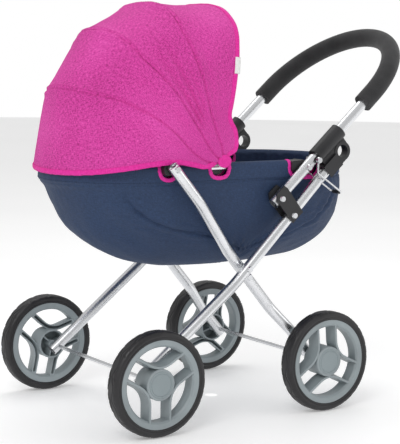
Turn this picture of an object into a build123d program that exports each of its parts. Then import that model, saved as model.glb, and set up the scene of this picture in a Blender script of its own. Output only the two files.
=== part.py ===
"""Doll stroller: a folding crossed-leg frame, a fabric basket with a folding hood, and four spoked wheels.

Millimetres, +Z up. +X points to the handle, -X to the hood, so the pusher's left hand is at -Y.
Z = 0 is the floor, and the origin is under the middle of the whole stroller's box.
"""
import os
from math import cos, radians, sin

from build123d import *

os.makedirs("parts", exist_ok=True)

# Wheels and axles
axle_mid_x = -54.1  # halfway between the axles
half_wheelbase = 150.0
wheel_r = 75.0
wheel_y = {"front": 165.5, "rear": 159.5}
rim_r = 63.0
rim_inner_r = 53.0
rim_width = 22.0
tyre_width = 24.0
drum_r = 22.5
drum_length = 32.0
blade_offset = 16.4  # from a slot's middle to the blade beside it
blade_depth = 20.0
blade_bend_r = 33.0
bearing_depth = 7.4
cap_r = 19.0
axle_r = 3.0
running_gap = 0.05

# Frame tubes and pivots, with X measured from axle_mid_x
tube_r = 8.0
tube_wall = 1.2
side_y = 129.0  # front legs and handle sides
front_leg_bend = (5.0, 198.0)
front_leg_angle = 44.5
rear_leg_y = {"top": 134.0, "crossing": 110.0, "axle": 125.0}
handle_pivot = (80.0, 319.5)
handle_angle = 41.5
basket_pivot = (-105.0, 369.0)
ring_pivot_reach = 67.2  # from the handle's pivot to the ring's, along the handle
leg_top_reach = 95.0
pin_r = 2.5
rivet_head_r = 5.0
rivet_head_height = 2.2

# Handle
handle_tail = 12.0
arch_reach = 231.0
grip_reach = 208.0
grip_r = 14.5

# Lock slider and catch, in the handle's own lengths
slider_start = 90.0
slider_end = 147.0
slider_r = 12.5
saddle_start = 87.0
saddle_end = 128.0
saddle_half_width = 10.2
lock_leg_gap = 0.8
finger_hole = (129.5, 25.0)
finger_hole_r = 9.5
catch_pivot = (84.5, 1.0)
catch_bend = (71.3, 15.3)
catch_bar = (85.4, 68.3)
catch_half_width = 12.0
wire_r = 1.4

# Basket
ring_z = 367.0
ring_tube_r = 5.0
ring_half_width = 109.5
ring_ends = (-228.3, 256.3)
fabric_thickness = 1.4
basket_sections = (  # height, front end, rear end, half width, all outside
    (375.0, -235.0, 263.0, 116.2),
    (345.0, -232.0, 264.0, 115.0),
    (310.0, -222.0, 266.0, 111.0),
    (275.0, -203.0, 262.0, 103.0),
    (245.0, -165.0, 240.0, 89.0),
    (225.0, -115.0, 195.0, 66.0),
    (216.0, -70.0, 140.0, 40.0),
)

# Hood, as bands that slide inside one another about one hinge
hood_hinge = (-17.0, 378.0)
hood_r = 241.0
hood_half_width = 126.0
hood_corner_r = 75.0
hood_crown = 14.0
band_step = 2.6
bow_thickness = 2.0
bow_width = 8.0
bow_angles = (27.0, 52.0, 74.0, 103.0)

# Places worked out from the sizes above
handle_dir = Vector(cos(radians(handle_angle)), 0, sin(radians(handle_angle)))
front_leg_dir = Vector(cos(radians(front_leg_angle)), 0, sin(radians(front_leg_angle)))
axle_x = {"front": -half_wheelbase, "rear": half_wheelbase}
sides = {"left": -1, "right": 1}


def at(x, y, z):
    """A point whose X is measured from midway between the axles."""
    return Vector(axle_mid_x + x, y, z)


def handle_plane(y, reach=0.0):
    """Local X runs up the handle and local Y down towards the front leg, from the handle's pivot."""
    origin = at(handle_pivot[0], y, handle_pivot[1]) + handle_dir * reach
    return Plane(origin=origin, x_dir=handle_dir, z_dir=(0, 1, 0))


def on_handle(reach, drop, y):
    """The point that lies that far up the handle and that far below its line."""
    return handle_plane(y).from_local_coords(Vector(reach, drop, 0))


def save(piece, name):
    piece.part.label = name
    export_step(piece.part, f"parts/{name}.step")


ring_pivot = on_handle(ring_pivot_reach, 0, 0)
bend = at(front_leg_bend[0], 0, front_leg_bend[1])
plate_rivet = bend + front_leg_dir * (on_handle(0, 34.0, 0) - bend).dot(front_leg_dir)
leg_slope = (basket_pivot[1] - wheel_r) / (basket_pivot[0] - half_wheelbase)
front_slope = sin(radians(front_leg_angle)) / cos(radians(front_leg_angle))
crossing_x = (
    basket_pivot[1] - leg_slope * basket_pivot[0] - front_leg_bend[1] + front_slope * front_leg_bend[0]
) / (front_slope - leg_slope)
crossing = at(crossing_x, 0, front_leg_bend[1] + front_slope * (crossing_x - front_leg_bend[0]))


def rear_leg_point(x, y):
    """A point on the rear leg's line, seen from the side."""
    return at(x, y, basket_pivot[1] + leg_slope * (x - basket_pivot[0]))


def pins(place, spans, radius=pin_r):
    """Round pins along Y through one place: one for each (from, to) span of Y."""
    for low, high in spans:
        with Locations(Location((place.X, (low + high) / 2, place.Z), (90, 0, 0))):
            Cylinder(radius, high - low)


def both_sides(low, high):
    """The same span of distances from the middle on the left and on the right."""
    return ((-high, -low), (low, high))


def rivets(name, place, inner, outer, inner_head=True):
    """A pair of domed rivets through the frame, one on each side."""
    with BuildPart() as rivet:
        pins(place, both_sides(inner, outer))
        for side in sides.values():
            faces = (inner, outer) if inner_head else (outer,)
            for face in faces:
                out = side if face == outer else -side
                head_plane = Plane(origin=(place.X, side * face, place.Z), z_dir=(0, out, 0))
                with BuildSketch(head_plane) as head:
                    Circle(rivet_head_r)
                extrude(head.sketch, amount=rivet_head_height, taper=25)
    save(rivet, name)


# Front legs: the two long tubes from the front axle up to the locks
leg_top = bend + front_leg_dir * ((on_handle(leg_top_reach, 30, 0) - bend).dot(front_leg_dir))
for side_name, side in sides.items():
    with BuildPart() as front_leg:
        y = side * side_y
        axle = at(-half_wheelbase, y, wheel_r)
        knee = bend + Vector(0, y, 0)
        foot = axle - (knee - axle).normalized() * 11
        with BuildLine() as route:
            FilletPolyline(foot, knee, leg_top + Vector(0, y, 0), radius=250)
        with BuildSketch(Plane(origin=route.line @ 0, z_dir=route.line % 0)):
            Circle(tube_r)
            Circle(tube_r - tube_wall, mode=Mode.SUBTRACT)
        sweep()
        for place in (crossing, plate_rivet):
            with Locations(Location((place.X, y, place.Z), (90, 0, 0))):
                Cylinder(pin_r + running_gap, 3 * tube_r, mode=Mode.SUBTRACT)
        with Locations(Location(axle, (90, 0, 0))):
            Cylinder(axle_r + running_gap, 3 * tube_r, mode=Mode.SUBTRACT)
    save(front_leg, f"front_leg_{side_name}")

# Rear legs: the S-bent tubes from the basket, inside the front legs, out to the rear axle
for side_name, side in sides.items():
    with BuildPart() as rear_leg:
        top_y, middle_y, axle_y = (side * rear_leg_y[part] for part in ("top", "crossing", "axle"))
        corners = [
            rear_leg_point(basket_pivot[0] - 4, top_y),
            rear_leg_point(-62, top_y),
            rear_leg_point(4, middle_y),
            rear_leg_point(84, middle_y),
            rear_leg_point(116, axle_y),
            rear_leg_point(half_wheelbase + 7, axle_y),
        ]
        with BuildLine() as route:
            FilletPolyline(*corners, radius=60)
        with BuildSketch(Plane(origin=route.line @ 0, z_dir=route.line % 0)):
            Circle(tube_r)
            Circle(tube_r - tube_wall, mode=Mode.SUBTRACT)
        sweep()
        for place, radius, y in (
            (at(basket_pivot[0], 0, basket_pivot[1]), pin_r, top_y),
            (crossing, pin_r, middle_y),
            (rear_leg_point(crossing_x + 13, 0), pin_r, middle_y),
            (at(half_wheelbase, 0, wheel_r), axle_r, axle_y),
        ):
            with Locations(Location((place.X, y, place.Z), (90, 0, 0))):
                Cylinder(radius + running_gap, 3 * tube_r, mode=Mode.SUBTRACT)
    save(rear_leg, f"rear_leg_{side_name}")

# Axles, with a push-on washer outside each wheel's bearing
for end, x in axle_x.items():
    reach = wheel_y[end] + rim_width / 2 - 5
    place = at(x, 0, wheel_r)
    with BuildPart() as axle:
        pins(place, [(-reach, reach)], axle_r)
    save(axle, f"{end}_axle")
    with BuildPart() as washers:
        pins(place, both_sides(reach - 2.2, reach - 1.0), 7.0)
        across_frame = Location((place.X, 0, place.Z), (90, 0, 0))
        with Locations(across_frame):
            Cylinder(axle_r, 2 * reach, mode=Mode.SUBTRACT)
    save(washers, f"{end}_axle_washers")

# Crossing pivots, with a spacer between the two tubes, and the stop rivets just below them
crossing_inner = rear_leg_y["crossing"] - tube_r
rivets("crossing_rivets", crossing, crossing_inner - 0.3, side_y + tube_r + 0.1)
with BuildPart() as spacers:
    spacer_in = rear_leg_y["crossing"] + tube_r + 0.3
    pins(crossing, both_sides(spacer_in, side_y - tube_r - 0.1), 7.0)
    with Locations(Location(crossing, (90, 0, 0))):
        Cylinder(pin_r, 2 * side_y, mode=Mode.SUBTRACT)
save(spacers, "crossing_spacers")
stop_place = rear_leg_point(crossing_x + 13, 0)
stop_outer = rear_leg_y["crossing"] + tube_r + 0.05
rivets("stop_rivets", stop_place, crossing_inner - 0.05, stop_outer)

# Bracket plates: one on each face of each front leg, holding the handle's pivot and a second rivet
plate_in = tube_r + 0.3
plate_out = tube_r + 2.8
for side_name, side in sides.items():
    with BuildPart() as plates:
        for low, high in ((plate_in, plate_out), (-plate_out, -plate_in)):
            with BuildSketch(handle_plane(side * side_y + low)):
                with BuildLine():
                    Polyline((-3, -12.5), (15, -12.5), (17, -6), (15, 41), (-9, 41), (-9, -4), close=True)
                make_face()
                with Locations((0, 0)):
                    Circle(pin_r, mode=Mode.SUBTRACT)
                place = handle_plane(0).to_local_coords(plate_rivet)
                with Locations((place.X, place.Y)):
                    Circle(pin_r, mode=Mode.SUBTRACT)
            extrude(amount=high - low)
    save(plates, f"bracket_plates_{side_name}")
rivets("handle_pivot_rivets", on_handle(0, 0, 0), side_y - plate_out, side_y + plate_out)
rivets("plate_rivets", plate_rivet, side_y - plate_out, side_y + plate_out)

# Handle: one tube bent to a wide arch, with a foam grip round it
arch_middle = handle_plane(0, arch_reach).origin
arch_top = arch_middle + handle_dir * side_y


def arch_line(start):
    """The handle's middle line, from one side round to the other, both ends that far up the handle."""
    left, right = (handle_plane(side * side_y, start).origin for side in (-1, 1))
    left_turn, right_turn = (handle_plane(side * side_y, arch_reach).origin for side in (-1, 1))
    Line(left, left_turn)
    ThreePointArc(left_turn, arch_top, right_turn)
    Line(right_turn, right)


with BuildPart() as handle_tube:
    with BuildLine() as route:
        arch_line(-handle_tail)
    with BuildSketch(Plane(origin=route.line @ 0, z_dir=route.line % 0)):
        Circle(tube_r)
        Circle(tube_r - tube_wall, mode=Mode.SUBTRACT)
    sweep()
    for reach in (0, ring_pivot_reach):
        with Locations(Location(on_handle(reach, 0, 0), (90, 0, 0))):
            Cylinder(pin_r + running_gap, 3 * side_y, mode=Mode.SUBTRACT)
save(handle_tube, "handle_tube")

with BuildPart() as handle_grip:
    with BuildLine() as route:
        arch_line(grip_reach)
    with BuildSketch(Plane(origin=route.line @ 0, z_dir=route.line % 0)):
        Circle(grip_r)
        Circle(tube_r, mode=Mode.SUBTRACT)
    sweep()
save(handle_grip, "handle_grip")

# The rivet at the ring's pivot ends inside the handle's tube: this is the pivot that is left open
rivets("ring_pivot_rivets", ring_pivot, side_y - tube_r + 0.4, side_y + tube_r, inner_head=False)

# Lock sliders: a sleeve on the handle, a saddle open below over the front leg's end, and a finger hole
saddle_plane_turn = front_leg_angle - handle_angle
saddle_drop = handle_plane(0).to_local_coords(leg_top).Y
for side_name, side in sides.items():
    y = side * side_y
    across = Plane(origin=on_handle(slider_start, 0, y), z_dir=handle_dir)
    leg_across = Plane(origin=leg_top + Vector(0, y, 0), z_dir=front_leg_dir)
    with BuildPart() as slider:
        with BuildSketch(across):
            Circle(slider_r)
        extrude(amount=slider_end - slider_start)
        with BuildSketch(handle_plane(y)):
            with BuildLine():
                Polyline((92, 4), (saddle_end + 16, 4), (saddle_end + 16, 22), (saddle_end + 8, 33),
                         (saddle_end, 40), (92, 40), close=True)
            make_face()
            fillet(vertices().group_by(Axis.X)[-1], radius=5)
        extrude(amount=6, both=True)
        with BuildSketch(handle_plane(y)):
            with Locations(((saddle_start + 116) / 2, (18 + saddle_drop + 10) / 2)):
                Rectangle(116 - saddle_start, saddle_drop + 10 - 18)
        extrude(amount=saddle_half_width, both=True)
        with BuildSketch(handle_plane(y)):
            with Locations(finger_hole):
                Circle(finger_hole_r + 5)
        extrude(amount=7, both=True)
        for low, high in ((tube_r + 0.3, tube_r + 2.3), (-tube_r - 2.3, -tube_r - 0.3)):
            with BuildSketch(handle_plane(y + low)):
                with Locations(catch_pivot):
                    Circle(5.5)
                with Locations((slider_start, catch_pivot[1])):
                    Rectangle(2 * (slider_start - catch_pivot[0]), 11)
            extrude(amount=high - low)
        with BuildSketch(across.offset(-20)):
            Circle(tube_r + 0.15)
        extrude(amount=200, mode=Mode.SUBTRACT)
        with BuildSketch(leg_across.offset(1.5)):
            Circle(tube_r + lock_leg_gap)
        extrude(amount=-60, mode=Mode.SUBTRACT)
        with BuildSketch(handle_plane(y)):
            end = handle_plane(0).to_local_coords(leg_top + front_leg_dir * 1.5)
            with Locations(Location((end.X, end.Y, 0), (0, 0, -saddle_plane_turn))):
                Rectangle(60, 40, align=(Align.MAX, Align.MIN))
        extrude(amount=tube_r + lock_leg_gap, both=True, mode=Mode.SUBTRACT)
        with BuildSketch(handle_plane(y)):
            with Locations(finger_hole):
                Circle(finger_hole_r)
            with Locations(catch_pivot):
                Circle(2.4)
        extrude(amount=30, both=True, mode=Mode.SUBTRACT)
    save(slider, f"lock_slider_{side_name}")

    with BuildPart() as studs:
        for face in (-1, 1):
            outward = face == side
            with BuildSketch(handle_plane(y + face * (tube_r + 0.3))):
                with Locations(catch_pivot):
                    Circle(2.4)
            extrude(amount=face * (catch_half_width + wire_r - tube_r - 0.3 + (0.3 if outward else 0.1)))
            if outward:
                with BuildSketch(handle_plane(y + face * (catch_half_width + wire_r + 0.3))):
                    with Locations(catch_pivot):
                        Circle(5)
                extrude(amount=face * 2.4, taper=20)
    save(studs, f"catch_studs_{side_name}")

    with BuildPart() as catch:
        towards = (Vector(*catch_bend) - Vector(*catch_pivot)).normalized()
        start = Vector(*catch_pivot) + towards * 3.4
        wire_points = [
            on_handle(start.X, start.Y, y - catch_half_width),
            on_handle(*catch_bend, y - catch_half_width),
            on_handle(*catch_bar, y - catch_half_width),
            on_handle(*catch_bar, y + catch_half_width),
            on_handle(*catch_bend, y + catch_half_width),
            on_handle(start.X, start.Y, y + catch_half_width),
        ]
        with BuildLine() as route:
            FilletPolyline(*wire_points, radius=4)
        with BuildSketch(Plane(origin=route.line @ 0, z_dir=route.line % 0)):
            Circle(wire_r)
        sweep()
        for arm in (-catch_half_width, catch_half_width):
            with BuildSketch(handle_plane(y + arm)):
                with Locations(catch_pivot):
                    Circle(4.4)
            extrude(amount=wire_r - 0.2, both=True)
        with BuildSketch(handle_plane(y)):
            with Locations(catch_pivot):
                Circle(2.4 + running_gap)
        extrude(amount=2 * catch_half_width, both=True, mode=Mode.SUBTRACT)
    save(catch, f"catch_wire_{side_name}")

    with BuildPart() as catch_sleeve:
        with BuildSketch(handle_plane(y)):
            with Locations(catch_bar):
                Circle(3.0)
                Circle(wire_r, mode=Mode.SUBTRACT)
        extrude(amount=catch_half_width - 5, both=True)
    save(catch_sleeve, f"catch_sleeve_{side_name}")

# Basket: a steel ring, the fabric tub that hangs from it, and a stiff board in the tub's floor
ring_length = ring_ends[1] - ring_ends[0]
ring_middle = (ring_ends[0] + ring_ends[1]) / 2
with BuildPart() as basket_ring:
    straight = ring_length / 2 - ring_half_width
    centre = at(ring_middle, 0, ring_z)
    corners = [centre + Vector(dx * straight, dy * ring_half_width) for dx, dy in ((-1, -1), (1, -1), (1, 1), (-1, 1))]
    with BuildLine() as route:
        Line(corners[0], corners[1])
        ThreePointArc(corners[1], centre + Vector(straight + ring_half_width, 0), corners[2])
        Line(corners[2], corners[3])
        ThreePointArc(corners[3], centre - Vector(straight + ring_half_width, 0), corners[0])
    with BuildSketch(Plane(origin=corners[0], z_dir=(1, 0, 0))):
        Circle(ring_tube_r)
    sweep()
save(basket_ring, "basket_ring")


def tub(inset, top, mode):
    """The tub's outside, or its inside when inset by the fabric's thickness."""
    levels = []
    for height, front, rear, half_width in basket_sections:
        level = top if height == basket_sections[0][0] else height
        level = level + inset if height == basket_sections[-1][0] else level
        with BuildSketch(Plane.XY.offset(level)) as section:
            with Locations((axle_mid_x + (front + rear) / 2, 0)):
                SlotOverall(rear - front - 2 * inset, 2 * (half_width - inset))
        levels.append(section.sketch)
    loft(levels, mode=mode)


with BuildPart() as basket_fabric:
    tub(0, basket_sections[0][0], Mode.ADD)
    tub(fabric_thickness, basket_sections[0][0] + 0.5, Mode.SUBTRACT)
    for x, width, floor in ((-104, 30, 352), (-17, 34, 352), (138, 60, 346)):
        with Locations(at(x, 0, floor + 20)):
            Box(width, 300, 40, mode=Mode.SUBTRACT)
save(basket_fabric, "basket_fabric")

with BuildPart() as basket_board:
    with BuildSketch(Plane.XY.offset(228)):
        with Locations((axle_mid_x + 40, 0)):
            SlotOverall(280, 116)
    extrude(amount=3)
save(basket_board, "basket_board")

# Ring connectors: at the rear legs' tops, where a pin runs in each, and beside the handle
rear_top_inner = rear_leg_y["top"] - tube_r
with BuildPart() as front_connectors:
    for side in sides.values():
        with BuildSketch(Plane.XZ.offset(-side * 100)):
            with Locations((axle_mid_x + basket_pivot[0], 368.0)):
                RectangleRounded(24, 17, 6)
        extrude(amount=-side * (rear_top_inner - 0.4 - 100))
        with BuildSketch(Plane.YZ.offset(axle_mid_x + basket_pivot[0] - 20)):
            with Locations((side * ring_half_width, ring_z)):
                Circle(ring_tube_r)
        extrude(amount=40, mode=Mode.SUBTRACT)
    with Locations(Location(at(basket_pivot[0], 0, basket_pivot[1]), (90, 0, 0))):
        for y in (-121.4, 121.4):
            with Locations((0, 0, y)):
                Cylinder(pin_r + running_gap, 12.4, mode=Mode.SUBTRACT)
save(front_connectors, "front_ring_connectors")
with BuildPart() as basket_pins:
    basket_place = at(basket_pivot[0], 0, basket_pivot[1])
    outer = rear_leg_y["top"] + tube_r
    pins(basket_place, both_sides(115.6, outer))
    for side in sides.values():
        head = Plane(origin=(basket_place.X, side * outer, basket_place.Z), z_dir=(0, side, 0))
        with BuildSketch(head):
            Circle(rivet_head_r)
        extrude(amount=rivet_head_height, taper=25)
save(basket_pins, "basket_pivot_rivets")

with BuildPart() as rear_connectors:
    notch_x = ring_pivot.X - axle_mid_x
    for side in sides.values():
        with BuildSketch(Plane.XZ.offset(-side * 100)):
            with Locations((ring_pivot.X, ring_pivot.Z + 1)):
                Circle(9.5)
            with Locations((ring_pivot.X - 9, ring_pivot.Z + 1)):
                RectangleRounded(22, 17, 5)
        extrude(amount=-side * (side_y - tube_r - 0.5 - 100))
        with BuildSketch(Plane.YZ.offset(ring_pivot.X - 40)):
            with Locations((side * ring_half_width, ring_z)):
                Circle(ring_tube_r)
        extrude(amount=80, mode=Mode.SUBTRACT)
save(rear_connectors, "rear_ring_connectors")

# Hood: clips on the ring, hinge pins, four bows and the fabric between them
hinge = at(hood_hinge[0], 0, hood_hinge[1])
innermost_band = 5
eyelet_r = 5.4


def hood_plane(angle):
    """Through the hinge line at that angle above the ring's front, local X along +Y and local Y outwards."""
    a = radians(angle)
    return Plane(origin=hinge, x_dir=(0, 1, 0), z_dir=(sin(a), 0, cos(a)))


def hood_outline(inset, foot):
    """The hood's arch from one foot over the top to the other, as an open line."""
    half, top = hood_half_width - inset, hood_r - inset
    shoulder = top - hood_crown
    return FilletPolyline((-half, foot), (-half, shoulder), (0, top), (half, shoulder), (half, foot),
                          radius=[hood_corner_r - inset, 300, hood_corner_r - inset])


def hood_arch(inset, thickness, foot):
    """A thin arch-shaped face, that far inside the hood's outermost band."""
    with BuildLine() as edge:
        outer = hood_outline(inset, foot)
        inner = hood_outline(inset + thickness, foot)
        Line(outer @ 0, inner @ 0)
        Line(outer @ 1, inner @ 1)
    make_face(edge.line.edges())


def hood_panel(band, low, high):
    """A fabric panel from one angle to another, ending against the bow at its high end."""
    with BuildSketch(hood_plane(low)) as edge:
        hood_arch(band * band_step + 0.3, fabric_thickness, 16)
    revolve(edge.sketch, axis=Axis(hinge, (0, 1, 0)), revolution_arc=high - low)
    if band:
        with BuildSketch(hood_plane(high)) as bow_place:
            Rectangle(600, 600)
        extrude(bow_place.sketch, amount=bow_width / 2, both=True, mode=Mode.SUBTRACT)


with BuildPart() as back_panel:
    hood_panel(0, 0, bow_angles[0])
save(back_panel, "hood_back_panel")

for number, angle in enumerate(bow_angles, start=1):
    inset = (number + 1) * band_step
    with BuildPart() as bow:
        with BuildSketch(hood_plane(angle)):
            hood_arch(inset, bow_thickness, 0)
        extrude(amount=bow_width / 2, both=True)
        half = hood_half_width - inset
        for low, high in both_sides(half - bow_thickness, half):
            with BuildSketch(Plane.XZ.offset(-low)):
                with Locations((hinge.X, hinge.Z)):
                    Circle(eyelet_r)
            extrude(amount=-(high - low))
        with Locations(Location(hinge, (90, 0, 0))):
            Cylinder(2.0 + running_gap, 2 * hood_half_width, mode=Mode.SUBTRACT)
    save(bow, f"hood_bow_{number}")

for number in (2, 3, 4):
    with BuildPart() as panel:
        hood_panel(number + 1, bow_angles[number - 2], bow_angles[number - 1])
    save(panel, f"hood_panel_{number}")

inner_eyelet = hood_half_width - innermost_band * band_step - bow_thickness
with BuildPart() as hood_clips:
    for side in sides.values():
        with BuildSketch(Plane.XZ.offset(-side * 100)):
            with Locations((hinge.X, (ring_z + hinge.Z) / 2)):
                RectangleRounded(18, 30, 6)
        extrude(amount=-side * (inner_eyelet - 0.4 - 100))
        with BuildSketch(Plane.YZ.offset(hinge.X - 20)):
            with Locations((side * ring_half_width, ring_z)):
                Circle(ring_tube_r)
        extrude(amount=40, mode=Mode.SUBTRACT)
    with Locations(Location(hinge, (90, 0, 0))):
        Cylinder(2.0, 300, mode=Mode.SUBTRACT)
save(hood_clips, "hood_clips")
with BuildPart() as hood_pins:
    head_y = hood_half_width - 2 * band_step + 0.6
    pins(hinge, both_sides(100, head_y), 2.0)
    pins(hinge, both_sides(head_y, head_y + 2.4), 4.5)
save(hood_pins, "hood_pins")

with BuildPart() as hood_tag:
    tag_y = -(hood_half_width - innermost_band * band_step - bow_thickness / 2)
    with BuildSketch(hood_plane(bow_angles[3]).offset(bow_width / 2)):
        with Locations((tag_y, 160)):
            Rectangle(0.8, 24)
    extrude(amount=7)
save(hood_tag, "hood_tag")

# Wheels: a tyre on a rim with three V-shaped blades round a long drum, closed by a flat cap
slot_angles = {("front", "left"): 270, ("rear", "left"): 95, ("front", "right"): 42, ("rear", "right"): 100}


def wheel_plane(end, side, depth=0.0):
    """On the wheel's outer face, local Z outwards; a positive depth is towards the frame."""
    face_y = side * (wheel_y[end] + rim_width / 2 - depth)
    return Plane(origin=at(axle_x[end], face_y, wheel_r), x_dir=(-side, 0, 0), z_dir=(0, side, 0))


def wheel_section(end, side):
    """Through the wheel's axis: local X is the radius, and local Y is 0 at the outer face, positive outwards."""
    return Plane(origin=wheel_plane(end, side).origin, x_dir=(1, 0, 0), z_dir=(0, 0, side))


def turned(end, side, profile):
    """A ring turned from a closed (radius, depth) profile."""
    with BuildSketch(wheel_section(end, side)) as section:
        with BuildLine() as edge:
            Polyline(*[(r, -depth) for r, depth in profile], close=True)
        make_face(edge.line.edges())
    revolve(section.sketch, axis=Axis(wheel_plane(end, side).origin, (0, 1, 0)))


def blades(end, side, turn, levels, reach, mode=Mode.ADD):
    """Three bent blades round the drum, their arms beside the slots, lofted between (depth, width) levels."""
    for number in range(3):
        middle = turn + 60 + 120 * number
        corner = Vector(blade_offset / sin(radians(60)), 0).rotate(Axis.Z, middle)
        ends = [corner + Vector(reach, 0).rotate(Axis.Z, middle + spread) for spread in (-60, 60)]
        sections = []
        for depth, width in levels:
            with BuildSketch(wheel_plane(end, side, depth)) as section:
                with BuildLine() as line:
                    FilletPolyline(ends[0], corner, ends[1], radius=blade_bend_r)
                    offset(amount=width / 2, side=Side.BOTH)
                make_face(line.line.edges())
            sections.append(section.sketch)
        loft(sections, mode=mode)


for (end, side_name), turn in slot_angles.items():
    side = sides[side_name]
    name = f"{end}_{side_name}"
    with BuildPart() as tyre:
        turned(end, side, ((rim_r, 0), (rim_r + 2, -1), (rim_r + 8, -1), (wheel_r - 1, 2), (wheel_r, 6),
                           (wheel_r, rim_width - 6), (wheel_r - 1, rim_width - 2), (rim_r + 8, rim_width + 1),
                           (rim_r + 2, rim_width + 1), (rim_r, rim_width)))
    save(tyre, f"tyre_{name}")

    with BuildPart() as rim:
        turned(end, side, ((rim_r, 0), (rim_inner_r + 2.5, 0.8), (rim_inner_r, 3.5), (rim_inner_r, rim_width - 2),
                           (rim_inner_r + 2, rim_width), (rim_r, rim_width)))
        blades(end, side, turn, ((blade_depth + 1, 8), (1, 3)), 46)
        blades(end, side, turn, ((blade_depth + 1, 4.6), (8, 1.6)), 37, Mode.SUBTRACT)
        turned(end, side, ((axle_r + running_gap, bearing_depth), (cap_r + 0.1, bearing_depth), (cap_r + 0.1, 0),
                           (drum_r - 0.8, 0), (drum_r, 0.8), (drum_r, drum_length),
                           (drum_r - 2.5, drum_length), (drum_r - 2.5, bearing_depth + 3),
                           (axle_r + 3, bearing_depth + 3), (axle_r + 3, drum_length),
                           (axle_r + running_gap, drum_length)))
        with BuildSketch(wheel_plane(end, side, drum_length - 1)):
            with PolarLocations((drum_r + axle_r) / 2 + 1, 3, start_angle=turn):
                Rectangle(drum_r - axle_r - 4, 1.6)
        extrude(amount=drum_length - bearing_depth - 3)
    save(rim, f"wheel_rim_{name}")

    with BuildPart() as cap:
        turned(end, side, ((0, -0.8), (cap_r - 3.4, -0.8), (cap_r - 3, -0.3), (cap_r - 2.6, -0.8),
                           (cap_r - 0.8, -0.8), (cap_r, 0), (cap_r, 2.6), (0, 2.6)))
    save(cap, f"hub_cap_{name}")
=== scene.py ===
"""Doll stroller: looks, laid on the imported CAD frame. Metres throughout."""
import math
import bpy
import bmesh
from mathutils import Matrix, Vector, noise


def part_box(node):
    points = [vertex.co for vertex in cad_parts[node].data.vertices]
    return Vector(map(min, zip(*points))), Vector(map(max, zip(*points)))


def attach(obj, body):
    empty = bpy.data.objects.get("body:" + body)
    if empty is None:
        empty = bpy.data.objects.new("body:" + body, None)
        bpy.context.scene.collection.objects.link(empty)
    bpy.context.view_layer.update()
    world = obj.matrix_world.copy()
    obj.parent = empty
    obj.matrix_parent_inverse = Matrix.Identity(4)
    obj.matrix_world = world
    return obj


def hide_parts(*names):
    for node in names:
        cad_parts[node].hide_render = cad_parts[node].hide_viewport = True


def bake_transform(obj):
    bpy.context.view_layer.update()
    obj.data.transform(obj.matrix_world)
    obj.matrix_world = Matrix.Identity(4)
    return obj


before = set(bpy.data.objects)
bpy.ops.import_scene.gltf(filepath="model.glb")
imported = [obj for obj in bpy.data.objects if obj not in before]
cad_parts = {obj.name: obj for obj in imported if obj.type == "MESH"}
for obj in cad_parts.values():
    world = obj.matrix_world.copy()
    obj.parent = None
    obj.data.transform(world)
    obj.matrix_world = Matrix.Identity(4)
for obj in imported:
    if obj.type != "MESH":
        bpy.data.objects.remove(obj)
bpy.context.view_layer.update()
MM = 0.001


def centre(node):
    """The middle of a node's box at rest."""
    low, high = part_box(node)
    return (Vector(low) + Vector(high)) / 2


# The middle between the two axles is where the side measurements start.
MID_X = (centre("front_axle").x + centre("rear_axle").x) / 2


# ---------------------------------------------------------------- materials
def shader(name, base, rough, metallic=0.0):
    """A material with its Principled shader, and a short way to add nodes to it."""
    mat = bpy.data.materials.new(name)
    mat.use_nodes = True
    tree = mat.node_tree
    bsdf = tree.nodes["Principled BSDF"]
    bsdf.inputs["Base Color"].default_value = (*base, 1)
    bsdf.inputs["Roughness"].default_value = rough
    bsdf.inputs["Metallic"].default_value = metallic
    return mat, tree, bsdf


def add(tree, kind, links=(), **values):
    """Adds a node. links are (input, socket) pairs, values are properties or inputs."""
    node = tree.nodes.new("ShaderNode" + kind)
    for key, value in values.items():
        if hasattr(node, key):
            setattr(node, key, value)
        else:
            node.inputs[key.replace("_", " ")].default_value = value
    for key, socket in links:
        tree.links.new(socket, node.inputs[key])
    return node


def place(tree, scale=(1, 1, 1), source="Object"):
    """Texture coordinates stretched by scale."""
    coordinates = tree.nodes.new("ShaderNodeTexCoord")
    mapping = add(tree, "Mapping", [("Vector", coordinates.outputs[source])])
    mapping.inputs["Scale"].default_value = scale
    return mapping.outputs[0]


def ramp(tree, socket, *stops):
    """A colour ramp through (position, colour) stops."""
    node = add(tree, "ValToRGB", [("Fac", socket)])
    elements = node.color_ramp.elements
    while len(elements) < len(stops):
        elements.new(0.5)
    for element, (position, colour) in zip(elements, stops):
        element.position = position
        element.color = (*colour, 1)
    return node.outputs[0]


def grey(value):
    return (value, value, value)


def maths(tree, operation, a, b=None):
    """One Math node on sockets or numbers."""
    node = tree.nodes.new("ShaderNodeMath")
    node.operation = operation
    for i, value in enumerate((a, b)):
        if value is None:
            continue
        if isinstance(value, (int, float)):
            node.inputs[i].default_value = value
        else:
            tree.links.new(value, node.inputs[i])
    return node.outputs[0]


def bump(tree, bsdf, height, strength, distance):
    node = add(tree, "Bump", [("Height", height)], Strength=strength, Distance=distance)
    tree.links.new(node.outputs[0], bsdf.inputs["Normal"])


def weave(tree, threads):
    """Heights of a plain weave with this many threads to the metre."""
    where = place(tree, source="UV")
    waves = [
        add(tree, "TexWave", [("Vector", where)], bands_direction=axis, Scale=threads / 6.283,
            Distortion=1.2, Detail=1.0).outputs["Fac"]
        for axis in ("X", "Y")
    ]
    return maths(tree, "MAXIMUM", *waves)


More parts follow.
